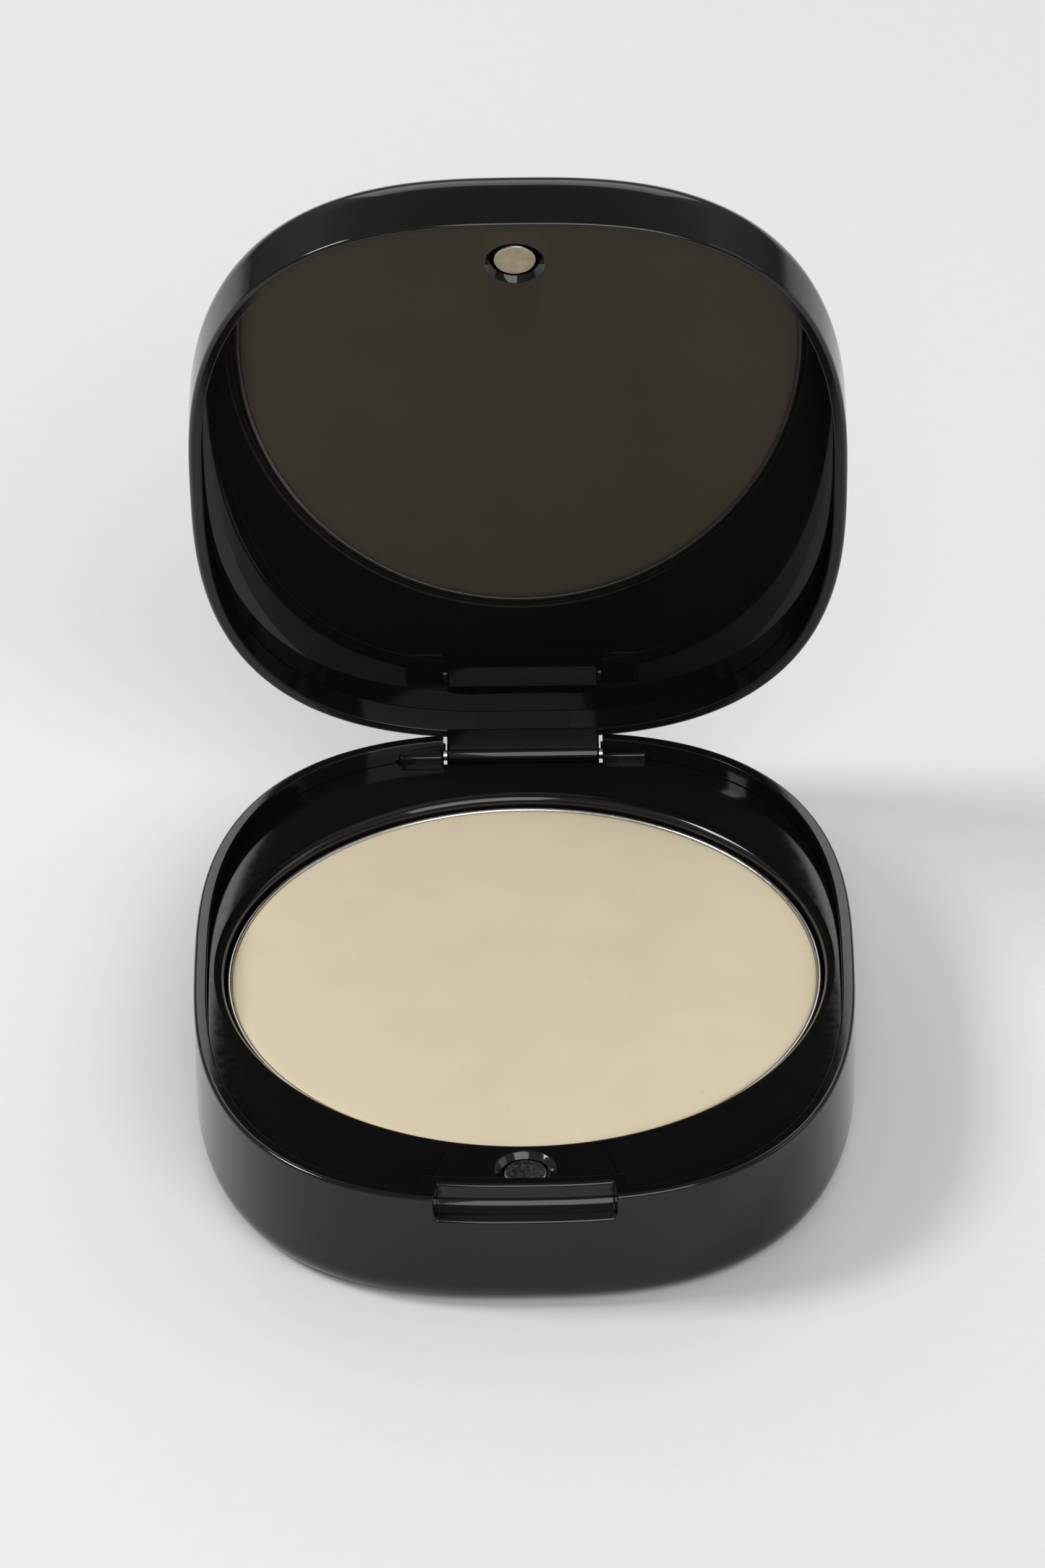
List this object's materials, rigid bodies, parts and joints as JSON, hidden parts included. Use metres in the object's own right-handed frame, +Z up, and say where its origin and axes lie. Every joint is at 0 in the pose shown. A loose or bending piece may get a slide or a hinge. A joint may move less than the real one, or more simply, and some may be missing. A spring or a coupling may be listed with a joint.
{
  "type": "powder compact",
  "caption": "Black hinged powder compact with a soft oval outline, a round metal pan of pressed powder, a magnet catch and a thumb notch.",
  "frame": {"origin": "middle of the underside of the case, on the surface that it stands on", "axes": "+Z up, +Y towards the hinge, -Y towards the thumb notch, +X to the right as seen from the notch"},
  "size_m": [0.0654, 0.0891, 0.0891],
  "materials": {
    "case_black": "gloss black moulded plastic",
    "tray_black": "gloss black moulded plastic",
    "panel_black": "mirror gloss black plastic",
    "pan_metal": "stamped, satin",
    "powder": "pressed powder, matt",
    "adhesive": "double-sided adhesive film",
    "magnet_plating": "nickel plated",
    "steel": "zinc plated sheet",
    "pin_steel": "bright drawn wire",
    "foam_tape": "thin foam tape",
    "label": "blank satin film"
  },
  "bodies": {
    "base": {"base_shell": "case_black", "base_tray": "tray_black", "powder_pan": "pan_metal", "pressed_powder": "powder", "pan_adhesive_pad": "adhesive", "base_magnet": "magnet_plating", "weight_plate": "steel", "underside_label": "label", "hinge_pin_left": "pin_steel", "hinge_pin_right": "pin_steel"},
    "lid": {"lid_shell": "case_black", "lid_inner_panel": "panel_black", "lid_panel_tape": "foam_tape", "lid_magnet": "magnet_plating"}
  },
  "joints": [
    {"name": "lid_hinge", "type": "hinge", "parent": "base", "child": "lid", "pos_m": [0, 0.0397, 0.0106], "axis": [-1, 0, 0], "range_deg": [-72, 43]}
  ]
}
